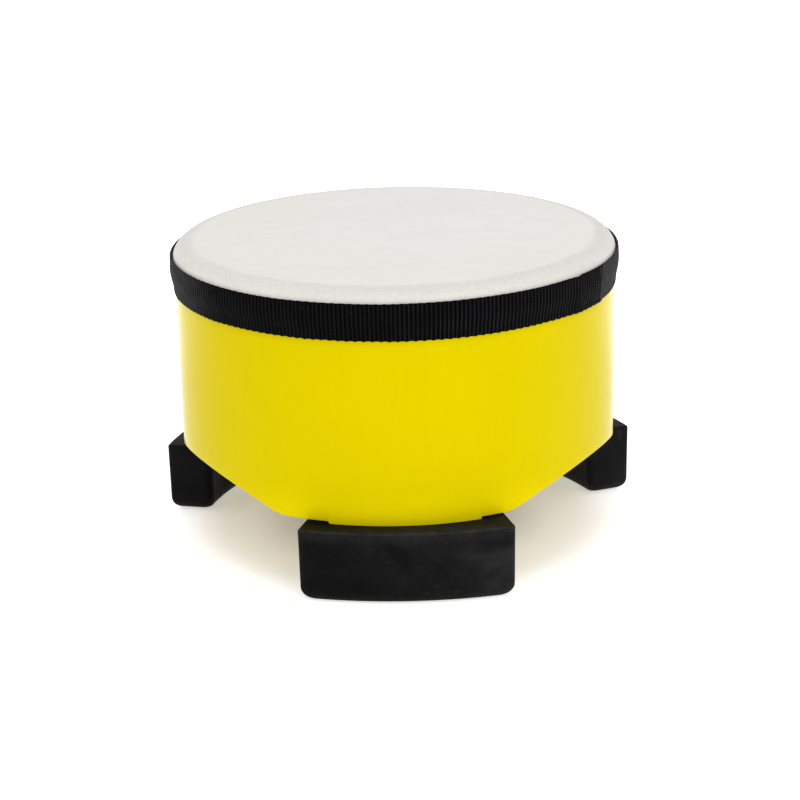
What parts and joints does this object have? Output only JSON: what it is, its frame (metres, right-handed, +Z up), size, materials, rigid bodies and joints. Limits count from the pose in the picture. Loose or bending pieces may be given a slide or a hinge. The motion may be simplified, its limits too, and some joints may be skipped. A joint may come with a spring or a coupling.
{
  "type": "floor drum",
  "caption": "Low round floor drum: yellow lacquered wooden shell with an arched lower edge, natural hide head, black webbing round the rim, and arc-shaped black rubber feet.",
  "frame": {"origin": "on the floor, at the middle of the footprint's bounding box; the drum's axis is vertical and stands 4.75 mm behind it, towards +Y", "axes": "+Z up; the front foot points along -Y; +X is to the right of someone who looks at the front foot from outside"},
  "size_m": [0.2792, 0.2691, 0.1742],
  "materials": {
    "shell_lacquer": "glossy yellow lacquer outside, bare pale plywood inside and on the cut edges",
    "bare_wood": "bare sanded hardwood",
    "hide": "natural off-white hide, dry and slightly mottled",
    "webbing": "black ribbed woven webbing",
    "foot_rubber": "matte moulded black rubber, slightly dusty",
    "staple_wire": "galvanised wire",
    "fastener_steel": "zinc-plated"
  },
  "bodies": {
    "root": {"shell": "shell_lacquer", "bearing_hoop": "bare_wood", "drumhead": "hide", "webbing_band": "webbing", "foot_front": "foot_rubber", "foot_left": "foot_rubber", "foot_right": "foot_rubber", "staple_01": "staple_wire", "staple_02": "staple_wire", "staple_03": "staple_wire", "staple_04": "staple_wire", "staple_05": "staple_wire", "staple_06": "staple_wire", "staple_07": "staple_wire", "staple_08": "staple_wire", "staple_09": "staple_wire", "staple_10": "staple_wire", "staple_11": "staple_wire", "staple_12": "staple_wire", "staple_13": "staple_wire", "staple_14": "staple_wire", "staple_15": "staple_wire", "staple_16": "staple_wire", "staple_17": "staple_wire", "staple_18": "staple_wire", "staple_19": "staple_wire", "staple_20": "staple_wire", "staple_21": "staple_wire", "staple_22": "staple_wire", "staple_23": "staple_wire", "staple_24": "staple_wire", "screw_front_a": "fastener_steel", "screw_front_b": "fastener_steel", "screw_left_a": "fastener_steel", "screw_left_b": "fastener_steel", "screw_right_a": "fastener_steel", "screw_right_b": "fastener_steel", "washer_front_a": "fastener_steel", "washer_front_b": "fastener_steel", "washer_left_a": "fastener_steel", "washer_left_b": "fastener_steel", "washer_right_a": "fastener_steel", "washer_right_b": "fastener_steel"}
  },
  "joints": []
}
